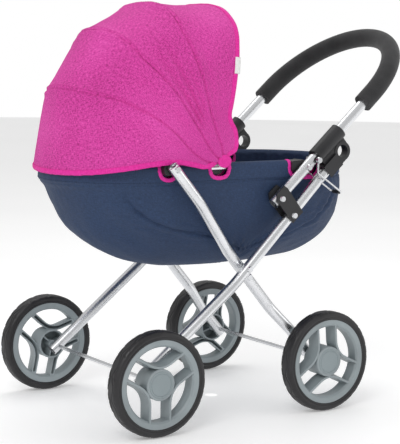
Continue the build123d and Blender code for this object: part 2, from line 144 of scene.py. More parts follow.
def cloth_material(name, dark, mid, light, threads, melange, rough=0.85, sheen=0.3, strength=0.5):
    """Woven cloth: flecks along both thread directions, soft blotches and a weave in relief."""
    mat, tree, bsdf = shader(name, mid, rough)
    across, along = (
        add(tree, "TexNoise", [("Vector", place(tree, stretch, "UV"))], Scale=melange, Detail=3.0)
        for stretch in ((1, 0.22, 1), (0.22, 1, 1)))
    soft = add(tree, "TexNoise", [("Vector", place(tree))], Scale=9.0, Detail=2.0)
    flecks = maths(tree, "ADD", maths(tree, "MULTIPLY", across.outputs["Fac"], 0.42),
                   maths(tree, "MULTIPLY", along.outputs["Fac"], 0.42))
    total = maths(tree, "ADD", flecks, maths(tree, "MULTIPLY", soft.outputs["Fac"], 0.16))
    tree.links.new(ramp(tree, total, (0.38, dark), (0.5, mid), (0.62, light)), bsdf.inputs["Base Color"])
    height = maths(tree, "ADD", weave(tree, threads), maths(tree, "MULTIPLY", flecks, 0.6))
    bump(tree, bsdf, height, strength, 0.0003)
    bsdf.inputs["Sheen Weight"].default_value = sheen
    bsdf.inputs["Sheen Roughness"].default_value = 0.5
    bsdf.inputs["Sheen Tint"].default_value = (*light, 1)
    return mat


def plastic_material(name, base, rough, grain=900.0, strength=0.12, wear=0.12):
    """Moulded plastic with a fine grain, slightly uneven gloss and paler rubbed patches."""
    mat, tree, bsdf = shader(name, base, rough)
    where = place(tree)
    fine = add(tree, "TexNoise", [("Vector", where)], Scale=grain, Detail=2.0)
    broad = add(tree, "TexNoise", [("Vector", where)], Scale=22.0, Detail=4.0)
    lighter = tuple(min(1.0, c * (1 + wear) + 0.01 * wear) for c in base)
    darker = tuple(c * (1 - wear) for c in base)
    tree.links.new(ramp(tree, broad.outputs["Fac"], (0.3, darker), (0.7, lighter)), bsdf.inputs["Base Color"])
    tree.links.new(ramp(tree, broad.outputs["Fac"], (0.3, grey(rough - 0.06)), (0.7, grey(rough + 0.08))),
                   bsdf.inputs["Roughness"])
    bump(tree, bsdf, fine.outputs["Fac"], strength, 0.0002)
    return mat


def metal_material(name, base, rough, streak=(60, 60, 60), depth=0.05):
    """Polished or drawn metal with faint streaks, smudges and a slightly uneven gloss."""
    mat, tree, bsdf = shader(name, base, rough, 1.0)
    lines = add(tree, "TexNoise", [("Vector", place(tree, streak))], Scale=14.0, Detail=5.0)
    smudge = add(tree, "TexNoise", [("Vector", place(tree))], Scale=30.0, Detail=5.0)
    mix = maths(tree, "ADD", maths(tree, "MULTIPLY", lines.outputs["Fac"], 0.5),
                maths(tree, "MULTIPLY", smudge.outputs["Fac"], 0.5))
    dull = tuple(c * 0.86 for c in base)
    tree.links.new(ramp(tree, mix, (0.35, dull), (0.6, base)), bsdf.inputs["Base Color"])
    tree.links.new(ramp(tree, mix, (0.3, grey(rough + 0.1)), (0.65, grey(max(0.05, rough - 0.04)))),
                   bsdf.inputs["Roughness"])
    bump(tree, bsdf, lines.outputs["Fac"], depth, 0.0002)
    return mat


def rubber_material(name, base):
    mat, tree, bsdf = shader(name, base, 0.45)
    where = place(tree)
    fine = add(tree, "TexNoise", [("Vector", where)], Scale=700.0, Detail=3.0)
    dust = add(tree, "TexNoise", [("Vector", where)], Scale=38.0, Detail=6.0)
    paler = tuple(c * 1.9 + 0.006 for c in base)
    for goal, low, high in (("Base Color", (0.42, base), (0.75, paler)),
                            ("Roughness", (0.35, grey(0.36)), (0.7, grey(0.6)))):
        tree.links.new(ramp(tree, dust.outputs["Fac"], low, high), bsdf.inputs[goal])
    bump(tree, bsdf, fine.outputs["Fac"], 0.2, 0.0002)
    return mat


def foam_material(name, base):
    mat, tree, bsdf = shader(name, base, 0.9)
    where = place(tree)
    cells = add(tree, "TexVoronoi", [("Vector", where)], Scale=620.0)
    soft = add(tree, "TexNoise", [("Vector", where)], Scale=45.0, Detail=5.0)
    paler = tuple(c * 1.7 for c in base)
    tree.links.new(ramp(tree, soft.outputs["Fac"], (0.35, base), (0.7, paler)), bsdf.inputs["Base Color"])
    height = maths(tree, "ADD", cells.outputs["Distance"], maths(tree, "MULTIPLY", soft.outputs["Fac"], 1.5))
    bump(tree, bsdf, height, 0.45, 0.0006)
    bsdf.inputs["Sheen Weight"].default_value = 0.15
    return mat


def board_material(name):
    """Pressed grey board with fibres."""
    mat, tree, bsdf = shader(name, (0.32, 0.28, 0.23), 0.85)
    fibres = add(tree, "TexNoise", [("Vector", place(tree, (1, 5, 5)))], Scale=160.0, Detail=6.0)
    tree.links.new(ramp(tree, fibres.outputs["Fac"], (0.3, (0.22, 0.19, 0.15)), (0.7, (0.4, 0.35, 0.29))),
                   bsdf.inputs["Base Color"])
    bump(tree, bsdf, fibres.outputs["Fac"], 0.3, 0.0003)
    return mat


HOOD_CLOTH = cloth_material("hood_cloth", (0.34, 0.012, 0.16), (0.66, 0.040, 0.34), (0.84, 0.11, 0.50),
                            1700, 950, sheen=0.12, strength=0.45)
BINDING = cloth_material("binding_tape", (0.62, 0.006, 0.24), (0.76, 0.014, 0.33), (0.84, 0.035, 0.40),
                         2200, 700, rough=0.7, sheen=0.08, strength=0.3)
NAVY = cloth_material("navy_cloth", (0.009, 0.024, 0.066), (0.013, 0.034, 0.09), (0.02, 0.048, 0.12),
                      1900, 800, rough=0.72, sheen=0.03, strength=0.3)
NAVY_THREAD = cloth_material("navy_thread", (0.006, 0.016, 0.045), (0.009, 0.022, 0.06), (0.016, 0.036, 0.09),
                             2600, 900, strength=0.4)
PINK_THREAD = cloth_material("pink_thread", (0.45, 0.01, 0.20), (0.55, 0.02, 0.26), (0.66, 0.05, 0.34),
                             2600, 900, strength=0.4)
TAG_CLOTH = cloth_material("tag_cloth", (0.72, 0.72, 0.70), (0.84, 0.84, 0.82), (0.93, 0.93, 0.91),
                           2600, 900, strength=0.4, sheen=0.1)
TUBE = metal_material("bright_tube", (0.80, 0.81, 0.83), 0.24)
STEEL = metal_material("bright_steel", (0.72, 0.73, 0.75), 0.18)
RIM = plastic_material("wheel_plastic", (0.27, 0.31, 0.325), 0.42)
CAP = plastic_material("cap_plastic", (0.25, 0.295, 0.31), 0.48, wear=0.06)
BLACK = plastic_material("black_plastic", (0.014, 0.014, 0.016), 0.4, wear=0.25)
BOW = plastic_material("bow_plastic", (0.03, 0.03, 0.034), 0.5, wear=0.25)
RUBBER = rubber_material("tyre_rubber", (0.0105, 0.010, 0.0115))
FOAM = foam_material("grip_foam", (0.017, 0.017, 0.018))
BOARD = board_material("pressed_board")

BY_SLOT = {
    "tyre": RUBBER, "wheel_plastic": RIM, "cap_plastic": CAP, "grip_foam": FOAM, "bright_tube": TUBE,
    "bright_steel": STEEL, "black_plastic": BLACK, "bow_plastic": BOW, "hood_fabric": HOOD_CLOTH,
    "white_tag": TAG_CLOTH, "basket_fabric": NAVY, "board": BOARD,
}


# ---------------------------------------------------------------- mesh helpers
def new_piece(name, verts, faces, material, uvs):
    """A mesh piece; uvs holds one (u, v) in metres per vertex."""
    mesh = bpy.data.meshes.new(name)
    mesh.from_pydata([tuple(v) for v in verts], [], faces)
    mesh.validate()
    layer = mesh.uv_layers.new(name="flat")
    for loop in mesh.loops:
        layer.data[loop.index].uv = uvs[loop.vertex_index]
    for polygon in mesh.polygons:
        polygon.use_smooth = True
    piece = bpy.data.objects.new(name, mesh)
    bpy.context.scene.collection.objects.link(piece)
    mesh.materials.append(material)
    return piece


def apply_all(piece):
    """Bakes the modifiers into the mesh."""
    bpy.context.view_layer.update()
    graph = bpy.context.evaluated_depsgraph_get()
    mesh = bpy.data.meshes.new_from_object(piece.evaluated_get(graph), preserve_all_data_layers=True,
                                           depsgraph=graph)
    piece.modifiers.clear()
    piece.data = mesh
    for polygon in mesh.polygons:
        polygon.use_smooth = True
    return piece


def solidify(piece, thickness):
    """Gives a sheet its thickness, half to each side."""
    modifier = piece.modifiers.new("thick", "SOLIDIFY")
    modifier.thickness, modifier.offset = thickness, 0.0
    modifier.use_even_offset = True
    return apply_all(piece)


def grid(name, rows, material, closed=False, keep=None):
    """A sheet through rows of points. closed joins each row's end to its start.
    keep(i, j), where given, says which cells are there."""
    count = len(rows[0])
    verts = [Vector(p) for row in rows for p in row]
    along = [0.0]
    middle = count // 3
    for a, b in zip(rows, rows[1:]):
        along.append(along[-1] + (Vector(b[middle]) - Vector(a[middle])).length)
    uvs = []
    for i, row in enumerate(rows):
        across = 0.0
        for j, point in enumerate(row):
            if j:
                across += (Vector(point) - Vector(row[j - 1])).length
            uvs.append((across, along[i]))
    faces = []
    for i in range(len(rows) - 1):
        for j in range(count if closed else count - 1):
            if keep and not keep(i, j):
                continue
            k = (j + 1) % count
            faces.append((i * count + j, i * count + k, (i + 1) * count + k, (i + 1) * count + j))
    return new_piece(name, verts, faces, material, uvs)


def tidy(piece, merge=1e-6):
    """Merges doubled points, drops loose ones and turns the faces to one side."""
    bm = bmesh.new()
    bm.from_mesh(piece.data)
    bmesh.ops.remove_doubles(bm, verts=bm.verts, dist=merge)
    bmesh.ops.delete(bm, geom=[v for v in bm.verts if not v.link_faces], context="VERTS")
    bmesh.ops.recalc_face_normals(bm, faces=bm.faces)
    bm.to_mesh(piece.data)
    bm.free()
    return piece


def smooth01(x):
    x = min(1.0, max(0.0, x))
    return x * x * (3 - 2 * x)


def table(value, points):
    """Smooth interpolation through (value, result) points, with smoothed slopes."""
    if value <= points[0][0]:
        return points[0][1]
    if value >= points[-1][0]:
        return points[-1][1]
    for i in range(len(points) - 1):
        (a, p), (b, q) = points[i], points[i + 1]
        if value <= b:
            before = points[i - 1] if i else (a - (b - a), p - (q - p))
            after = points[i + 2] if i + 2 < len(points) else (b + (b - a), q + (q - p))
            t = (value - a) / (b - a)
            m0 = (q - before[1]) / (b - before[0]) * (b - a)
            m1 = (after[1] - p) / (after[0] - a) * (b - a)
            t2, t3 = t * t, t * t * t
            return (2 * t3 - 3 * t2 + 1) * p + (t3 - 2 * t2 + t) * m0 + (3 * t2 - 2 * t3) * q + (t3 - t2) * m1
    return points[-1][1]


def hump(x, middle, width):
    return math.exp(-(((x - middle) / width) ** 2))


def curve_points(points, count, closed=False):
    """Evenly spaced points on a smooth curve through the given ones."""
    raw = []
    size = len(points)
    spans = size if closed else size - 1
    for i in range(spans):
        p0 = Vector(points[(i - 1) % size] if closed or i else points[0])
        p1, p2 = Vector(points[i]), Vector(points[(i + 1) % size])
        p3 = Vector(points[(i + 2) % size] if closed or i + 2 < size else points[-1])
        for step in range(24):
            t = step / 24
            raw.append(0.5 * (2 * p1 + (p2 - p0) * t + (2 * p0 - 5 * p1 + 4 * p2 - p3) * t * t
                              + (3 * p1 - p0 - 3 * p2 + p3) * t ** 3))
    raw.append(Vector(points[0] if closed else points[-1]))
    lengths = [0.0]
    for a, b in zip(raw, raw[1:]):
        lengths.append(lengths[-1] + (b - a).length)
    result, k = [], 0
    steps = count if closed else count - 1
    for i in range(count):
        want = lengths[-1] * i / steps
        while k < len(lengths) - 2 and lengths[k + 1] < want:
            k += 1
        part = (want - lengths[k]) / max(1e-9, lengths[k + 1] - lengths[k])
        result.append(raw[k].lerp(raw[k + 1], part))
    return result


def tape(name, path, outward, half_width, half_thick, material, closed=False, ripple=0.0, seed=0.0):
    """A folded edge tape: an oval section swept along path. outward(i) is the direction off the cloth."""
    section, rows = 12, []
    for i, point in enumerate(path):
        ahead = path[(i + 1) % len(path)] if closed or i + 1 < len(path) else point
        behind = path[i - 1] if closed or i else point
        forward = (ahead - behind).normalized()
        out = Vector(outward(i)).normalized()
        out = (out - forward * out.dot(forward)).normalized()
        side = forward.cross(out)
        wobble = 1 + ripple * noise.noise(Vector((i * 0.35, seed, 0)))
        row = []
        for j in range(section):
            angle = 2 * math.pi * j / section
            c, s = math.cos(angle), math.sin(angle)
            row.append(point + side * half_width * wobble * math.copysign(abs(c) ** 0.8, c)
                       + out * half_thick * math.copysign(abs(s) ** 0.7, s))
        rows.append(row)
    if closed:
        rows.append(rows[0])
    piece = grid(name, rows, material, closed=True)
    if not closed:
        bm = bmesh.new()
        bm.from_mesh(piece.data)
        bmesh.ops.holes_fill(bm, edges=[e for e in bm.edges if e.is_boundary], sides=0)
        bm.to_mesh(piece.data)
        bm.free()
    return tidy(piece)


# ---------------------------------------------------------------- camera, floor and light
def set_camera():
    """The viewing angle: low, from the side and the hood's end."""
    turn, lift, roll = math.radians(-32.25), math.radians(6.63), math.radians(0.70)
    back = Vector((math.sin(turn) * math.cos(lift), -math.cos(turn) * math.cos(lift), math.sin(lift)))
    right = Vector((math.cos(turn), math.sin(turn), 0))
    up = back.cross(right)
    right, up = (math.cos(roll) * right + math.sin(roll) * up, math.cos(roll) * up - math.sin(roll) * right)
    data = bpy.data.cameras.new("camera")
    data.lens, data.shift_x, data.shift_y = 116.6, 0.0848, -0.0128
    data.clip_start, data.clip_end = 0.05, 60
    camera = bpy.data.objects.new("camera", data)
    matrix = Matrix((right, up, back)).transposed().to_4x4()
    matrix.translation = Vector((MID_X - 1.1885, -1.8200, 0.5357))
    camera.matrix_world = matrix
    bpy.context.scene.collection.objects.link(camera)
    bpy.context.scene.camera = camera


def set_light():
    """Soft studio light: a bright room, one broad key from the front left, a fill and a top light."""
    world = bpy.data.worlds.new("studio")
    bpy.context.scene.world = world
    world.use_nodes = True
    tree = world.node_tree
    background = tree.nodes["Background"]
    path = tree.nodes.new("ShaderNodeLightPath")
    strength = maths(tree, "ADD", maths(tree, "MULTIPLY", path.outputs["Is Camera Ray"], 0.38), 0.62)
    background.inputs["Color"].default_value = (1.0, 1.0, 1.0, 1)
    tree.links.new(strength, background.inputs["Strength"])
    target = Vector((0, 0, 0.3))
    for name, where, size, power in (
        ("key", (-1.9, -1.6, 2.3), 1.3, 26),
        ("fill", (2.2, -1.8, 1.2), 1.4, 8),
        ("top", (0.3, 0.8, 2.6), 1.6, 16),
    ):
        data = bpy.data.lights.new(name, "AREA")
        data.shape, data.size, data.energy = "SQUARE", size, power
        lamp = bpy.data.objects.new(name, data)
        lamp.location = where
        lamp.rotation_euler = (target - Vector(where)).to_track_quat("-Z", "Y").to_euler()
        bpy.context.scene.collection.objects.link(lamp)


def set_floor():
    """A plain pale floor disc under the wheels."""
    mat, tree, bsdf = shader("pale_floor", (0.93, 0.93, 0.93), 0.55)
    soft = add(tree, "TexNoise", [("Vector", place(tree))], Scale=2.0, Detail=1.0)
    tree.links.new(ramp(tree, soft.outputs["Fac"], (0.3, grey(0.91)), (0.7, grey(0.95))),
                   bsdf.inputs["Base Color"])
    bsdf.inputs["Emission Color"].default_value = (1, 1, 1, 1)
    bsdf.inputs["Emission Strength"].default_value = 0.22
    rings = [[Vector((radius * math.cos(2 * math.pi * i / 96), radius * math.sin(2 * math.pi * i / 96), 0))
              for i in range(96)] for radius in (0.01, 2.0, 9.0)]
    floor = grid("floor", rings, mat, closed=True)
    floor.location.z = -0.0005


bpy.context.scene.view_settings.view_transform = "Standard"
set_camera()
set_light()
set_floor()

# Every carried-over CAD node gets its material by the slot it was packed with.
for node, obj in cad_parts.items():
    for slot in obj.material_slots:
        slot.material = BY_SLOT[slot.material.name.split(".")[0]]


# ---------------------------------------------------------------- tyres
TYRE_SIDE = [(62.9, 9.8), (63.6, 11.2), (64.6, 11.8), (65.5, 11.7), (66.1, 11.0), (66.8, 11.0), (67.4, 11.8),
             (68.8, 12.0), (70.6, 11.7), (72.3, 10.9), (73.6, 9.7), (74.5, 8.1), (74.9, 6.4)]
TYRE_TREAD = [(75.0, y) for y in (5.4, 4.5, 3.6, 2.7, 1.8, 0.9, 0.0)]
TYRE_HALF = TYRE_SIDE + TYRE_TREAD
TREAD_REPEATS = 14
REPEAT_LENGTH = 33.6
TYRE_PROFILE = ([(r, y) for r, y in TYRE_HALF] + [(r, -y) for r, y in reversed(TYRE_HALF[:-1])]
                + [(63.1, -4.0), (63.1, 4.0)])


def tread_depth(angle, y):
    """Moulded relief in mm: two wavy grooves round the tyre, and slanted cuts and round studs
    on its shoulders."""
    if abs(y) > 10.5:
        return 0.0
    waves = 0.0
    for side in (-1, 1):
        wave = 2.6 * math.sin(TREAD_REPEATS * angle + side * 1.1)
        line = side * 4.6 + wave * (1 + 0.25 * math.sin(3 * TREAD_REPEATS * angle))
        waves = max(waves, hump(y, line, 0.95))
    cell = (angle * TREAD_REPEATS / (2 * math.pi)) % 1
    slant = (cell - 0.5) * REPEAT_LENGTH - 0.9 * (abs(y) - 7.5)
    cut = hump(slant, 0, 1.1) * smooth01((abs(y) - 5.5) / 1.5)
    stud = math.hypot((cell - 0.12) * REPEAT_LENGTH, abs(y) - 8.0)
    ring = hump(stud, 2.2, 0.55)
    return 1.05 * max(waves, cut, 0.8 * ring)


def make_tyre(where):
    node = "tyre_" + where
    middle = centre(node)
    steps = 420
    rows = []
    for i in range(steps):
        angle = 2 * math.pi * i / steps
        row = []
        for r, y in TYRE_PROFILE:
            depth = tread_depth(angle, y) if r > 68 else 0.0
            radius = (r - depth) * MM
            row.append((middle.x + radius * math.cos(angle), middle.y + y * MM,
                        middle.z + radius * math.sin(angle)))
        rows.append(row)
    rows.append(rows[0])
    tyre = tidy(grid("treaded_tyre_" + where, rows, RUBBER, closed=True))
    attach(tyre, "wheel_" + where)
    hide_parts(node)


for end in ("front", "rear"):
    for side in ("left", "right"):
        make_tyre(end + "_" + side)


# ---------------------------------------------------------------- hood
HINGE = centre("hood_pins")
HINGE.y = 0
# Angles above the front horizontal of each seam and edge, by distance from the hinge in mm.
HEM = [(4, -25), (28, -20.8), (49, -9.1), (74, -2.6), (115, -2.4), (161, -3.9), (207, -5.0), (243, -5.1)]
SEAM_1 = [(4, -20), (13, -15), (32, 0.8), (50, 12), (80, 24.1), (115, 28.0), (150, 28.8)]
SEAM_2 = [(4, 10), (15, 27.6), (50, 44), (94, 49), (150, 50)]
SEAM_3 = [(4, 80), (16, 80), (39, 72.5), (100, 71.8)]
EDGE = [(4, 152), (13, 152), (27, 151), (36, 134), (46, 122), (52, 111), (64, 102.8), (81, 102.0),
        (161, 100.4), (200, 101.2)]
# (angles, how much the seam leans at the top, height over the hinge, half width, straight foot,
# roundness), in degrees and mm
BANDS = [(HEM, 0.0, 222.0, 125.5, 112, 2.12), (SEAM_1, -2.2, 225.5, 126.0, 108, 2.05),
         (SEAM_2, 2.0, 235.5, 126.4, 110, 2.15), (SEAM_3, 2.2, 234.5, 126.4, 116, 2.4),
         (EDGE, -0.8, 228.5, 124.0, 112, 2.6)]
HOOD_COLUMNS = 165
CLOTH_THICK = 0.0012


def arch_line(height, width, foot, power):
    """Even steps over the hood from hinge to hinge, as (sideways, height) in mm."""
    half = [(width, r) for r in (2.5, foot * 0.35, foot * 0.7, foot)]
    for i in range(1, 19):
        turn = math.pi / 2 * i / 18
        half.append((width * max(0.0, math.cos(turn)) ** (2 / power),
                     foot + (height - foot) * math.sin(turn) ** (2 / power)))
    whole = half + [(-y, r) for y, r in reversed(half[:-1])]
    return [(-p.x, p.y) for p in curve_points([(y, r, 0) for y, r in whole], HOOD_COLUMNS)]


ARCH_LINES = [arch_line(*row[2:]) for row in BANDS]


def arch_at(band, column, share):
    """(sideways, height, share of the full height) of the arch between a band's two edges."""
    (y0, r0), (y1, r1) = ARCH_LINES[band][column], ARCH_LINES[band + 1][column]
    height = r0 + (r1 - r0) * share
    full = BANDS[band][2] + (BANDS[band + 1][2] - BANDS[band][2]) * share
    return y0 + (y1 - y0) * share, height, height / full


def hood_frame(band, column, share):
    """Angle in degrees, radius, sideways place, angle between the band's edges, and 1 on the top."""
    (low, low_lean, low_r), (high, high_lean, high_r) = BANDS[band][:3], BANDS[band + 1][:3]
    y, radius, height = arch_at(band, column, share)
    top = smooth01((height - 0.78) / 0.2)
    a = table(radius, low) + top * low_lean
    b = table(radius, high) + top * high_lean
    span = math.radians(max(1.0, b - a))
    straight = low_r + (high_r - low_r) * share
    chord = (low_r * high_r * math.sin(span)
             / (low_r * math.sin(span * share) + high_r * math.sin(span * (1 - share))))
    return a + (b - a) * share, radius * (1 + (chord / straight - 1) * top), y, span, top


# Soft folds: band, middle across the band, how it drifts outwards, width, depth in mm, from and to
# radius, side.
FOLDS = [
    (2, 0.26, 0.10, 0.085, -3.4, 45, 215, -1), (2, 0.50, 0.14, 0.07, -3.8, 50, 205, -1),
    (2, 0.74, 0.06, 0.06, -2.4, 60, 180, -1), (2, 0.38, 0.12, 0.05, 1.6, 50, 200, -1),
    (3, 0.24, 0.05, 0.07, -2.0, 60, 190, -1), (3, 0.52, -0.1, 0.10, -1.8, 55, 150, -1),
    (1, 0.62, -0.12, 0.10, -2.2, 70, 210, -1), (1, 0.30, -0.10, 0.08, -1.6, 90, 200, -1),
    (0, 0.72, -0.12, 0.10, -2.4, 70, 190, -1), (0, 0.42, 0.06, 0.14, -1.4, 90, 220, -1),
    (2, 0.30, 0.08, 0.08, -3.0, 45, 210, 1), (2, 0.62, 0.08, 0.07, -3.2, 50, 200, 1),
    (1, 0.55, -0.1, 0.09, -2.0, 70, 210, 1), (3, 0.40, -0.05, 0.10, -2.0, 55, 170, 1),
    (0, 0.66, -0.1, 0.11, -2.2, 70, 200, 1),
]
# Creases that run over the back corners, as column shares with a depth in mm.
CREASES = [(0.335, 0.9), (0.362, -0.9), (0.392, 0.8), (0.625, 0.8), (0.655, -0.9)]


def hood_point(band, column, share, lift=0.0):
    """A point of the hood cloth; lift is how far off the cloth it stands, in mm."""
    angle, radius, y, span, top = hood_frame(band, column, share)
    before = arch_at(band, max(0, column - 1), share)
    after = arch_at(band, min(HOOD_COLUMNS - 1, column + 1), share)
    tangent = Vector((after[0] - before[0], after[1] - before[1], 0)).normalized()
    out_y, out_r = -tangent.y, tangent.x
    side = -1 if y < 0 else 1
    reach = radius * span
    near = min(share, 1 - share) * reach if 0 < band < 3 else (
        (1 - share) * reach if band == 0 else share * reach)
    offset = lift - 1.5 * hump(near, 0, 1.7) + 1.0 * hump(near, 4.5, 3.0)
    window = smooth01((radius - 40) / 50)
    offset -= 2.0 * math.sin(math.pi * share) ** 0.8 * window * (1.2 * top + 0.8 * (1 - top))
    for where, middle, drift, width, depth, low, high, hand in FOLDS:
        if where == band and hand == side:
            along = smooth01((radius - low) / 35) * smooth01((high - radius) / 45)
            line = middle + drift * ((radius - 120) / 100) ** 2 * 0.6
            offset += depth * along * hump(share, line, width)
    part = column / (HOOD_COLUMNS - 1)
    fade = 1.0 if band == 0 else (1 - 0.55 * share if band == 1 else 0.0)
    if band < 2:
        for middle, depth in CREASES:
            offset += depth * fade * hump(part, middle + 0.012 * (share + band), 0.0075)
    pucker = noise.noise(Vector((part * 95, band * 7.3, 1.7)))
    offset += 0.9 * pucker * math.exp(-near / 6.0) * window
    spot = Vector((angle * 0.05, part * 9, band * 3.1))
    offset += (1.5 * noise.noise(spot * 1.3) + 0.6 * noise.noise(spot * 3.7)) * window
    turn = math.radians(angle)
    normal = Vector((-math.cos(turn) * out_r, out_y, math.sin(turn) * out_r))
    off_hinge = Vector((-radius * math.cos(turn), y, radius * math.sin(turn))) + normal * offset
    return HINGE + off_hinge * MM


def hood_normal(band, column, share):
    """Direction off the cloth."""
    return (hood_point(band, column, share, 1.0) - hood_point(band, column, share)).normalized()


def hood_band_body(band):
    """The bodies on the two sides of a band, and where the cloth starts and stops turning between them."""
    bodies = ("basket", "hood_rear_bow", "hood_second_bow", "hood_third_bow", "hood_front_bow")
    middle = HOOD_COLUMNS // 2
    low, high = hood_point(band, middle, 0.0), hood_point(band, middle, 1.0)
    return bodies[band], bodies[band + 1], low.lerp(high, 0.12), low.lerp(high, 0.88)


def hood_rows(band, count):
    shares = [0.5 - 0.5 * math.cos(math.pi * i / count) for i in range(count + 1)]
    return [[hood_point(band, column, share) for column in range(HOOD_COLUMNS)] for share in shares]


HOOD_NODES = ("hood_back_panel", "hood_panel_2", "hood_panel_3", "hood_panel_4")
HOOD_NAMES = ("hood_cloth_back", "hood_cloth_second", "hood_cloth_third", "hood_cloth_front")
for band, (name, node) in enumerate(zip(HOOD_NAMES, HOOD_NODES)):
    cloth = grid(name, hood_rows(band, 40), HOOD_CLOTH)
    solidify(cloth, CLOTH_THICK)
    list(hood_band_body(band))
    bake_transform(cloth)
    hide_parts(node)


def hood_edge_tape(name, band, share, inset):
    """The folded tape along the hem (share 0) or the front edge (share 1)."""
    columns = range(HOOD_COLUMNS)
    path = [hood_point(band, c, share) for c in columns]
    inner = [hood_point(band, c, abs(share - 0.06)) for c in columns]
    normals = [hood_normal(band, c, share) for c in columns]
    shifted = [p + (q - p).normalized() * inset for p, q in zip(path, inner)]
    even = curve_points([tuple(p) for p in shifted[::2]], 260)
    lookup = [min(range(len(shifted)), key=lambda k, e=e: (shifted[k] - e).length_squared) for e in even]
    piece = tape(name, even, lambda i: normals[lookup[i]], 0.0038, 0.0015, BINDING, ripple=0.12, seed=band)
    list(hood_band_body(band))
    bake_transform(piece)
    return piece


hem_tape = hood_edge_tape("hood_hem_tape", 0, 0.0, 0.0030)
edge_tape = hood_edge_tape("hood_front_tape", 3, 1.0, 0.0034)


def make_tag():
    """A small blank folded label sewn into the front edge, near side."""
    best = min(range(HOOD_COLUMNS // 2), key=lambda c: abs(ARCH_LINES[4][c][1] - 138))
    start, end = hood_point(3, best - 4, 0.965, 1.6), hood_point(3, best + 4, 0.965, 1.6)
    along = (end - start).normalized()
    start, end = (start + end) / 2 - along * 0.012, (start + end) / 2 + along * 0.012
    out = hood_normal(3, best, 0.96)
    across = along.cross(out).normalized()
    rows = []
    for i in range(13):
        t = i / 12
        row = []
        for j in range(9):
            s = j / 8 - 0.5
            bow = 0.0006 * math.cos(math.pi * s) + 0.0003 * math.sin(5 * t)
            row.append(start.lerp(end, t) + across * s * 0.0088 + out * bow)
        rows.append(row)
    piece = grid("blank_tag", rows, TAG_CLOTH)
    solidify(piece, 0.0009)
    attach(piece, "hood_front_bow")
    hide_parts("hood_tag")
    return piece


tag = make_tag()


def make_bow(number):
    """A flat springy strip just inside the cloth at one seam, nested beside the others near the hinge."""
    angles, lean, height = BANDS[number][:3]
    path, out = [], []
    for column in range(0, HOOD_COLUMNS, 2):
        y, radius = ARCH_LINES[number][column]
        top = smooth01((radius / height - 0.78) / 0.2)
        turn = math.radians(table(200, angles) + top * lean - (2.2 if number == 4 else 0))
        before, after = (ARCH_LINES[number][min(HOOD_COLUMNS - 1, max(0, column + k))] for k in (-1, 1))
        tangent = Vector((after[0] - before[0], after[1] - before[1], 0)).normalized()
        inset = 3.4 + (number - 1) * 2.6 * (1 - smooth01((radius - 90) / 60))
        y, radius = y + tangent.y * inset, radius - tangent.x * inset
        path.append(HINGE + Vector((-radius * math.cos(turn), y, radius * math.sin(turn))) * MM)
        out.append(Vector((-math.cos(turn) * tangent.x, -tangent.y, math.sin(turn) * tangent.x)))
    bow = tape(f"bow_strip_{number}", path, lambda i: out[i], 0.0040, 0.0009, BOW)
    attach(bow, ("hood_rear_bow", "hood_second_bow", "hood_third_bow", "hood_front_bow")[number - 1])
    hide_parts(f"hood_bow_{number}")


for number in (1, 2, 3, 4):
    make_bow(number)


def corner_patch(name, side):
    """The folded corner of the edge tape over the hinge."""
    rings = []
    turns = [2 * math.pi * i / 28 for i in range(28)]
    for k in range(7):
        size = 0.0105 * k / 6
        y = side * (0.1268 + 0.0010 * math.cos(math.pi * k / 12))
        rings.append([HINGE + Vector((0.0015 + 1.1 * size * math.cos(turn), y,
                                      -0.001 + 0.9 * size * math.sin(turn))) for turn in turns])
    piece = tidy(grid(name, rings, BINDING, closed=True))
    solidify(piece, CLOTH_THICK)
    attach(piece, "basket")
    return piece


corner_patches = [corner_patch("hood_corner_near", -1), corner_patch("hood_corner_far", 1)]


# ---------------------------------------------------------------- basket
RING_Z, RING_SIDE, RING_FRONT, RING_REAR = 367.0, 109.5, -228.3, 256.3
TUB = [(375, -235, 263, 116.2), (346, -233, 263.4, 115.3), (335, -224, 265, 114.4), (310, -213, 266, 111.4),
       (275, -194, 262, 103), (245, -156, 240, 89), (225, -108, 195, 66), (216, -66, 140, 40)]
CUTS = [(-104.0, 30.0, 352.0), (-17.0, 34.0, 352.0), (136.0, 54.0, 348.0)]
TUB_COLUMNS = 720


def around(u, front, rear, width, bend):
    """A closed outline from the front middle along the near side: straight sides and rounded ends."""
    if u < 0.15 or u > 0.85:
        turn = (u if u < 0.5 else u - 1) / 0.15 * math.pi / 2
        return front + bend - bend * math.cos(turn), -width * math.sin(turn)
    if u <= 0.35:
        return front + bend + (rear - front - 2 * bend) * (u - 0.15) / 0.2, -width
    if u < 0.65:
        turn = (u - 0.35) / 0.3 * math.pi
        return rear - bend + bend * math.sin(turn), -width * math.cos(turn)
    return rear - bend - (rear - front - 2 * bend) * (u - 0.65) / 0.2, width


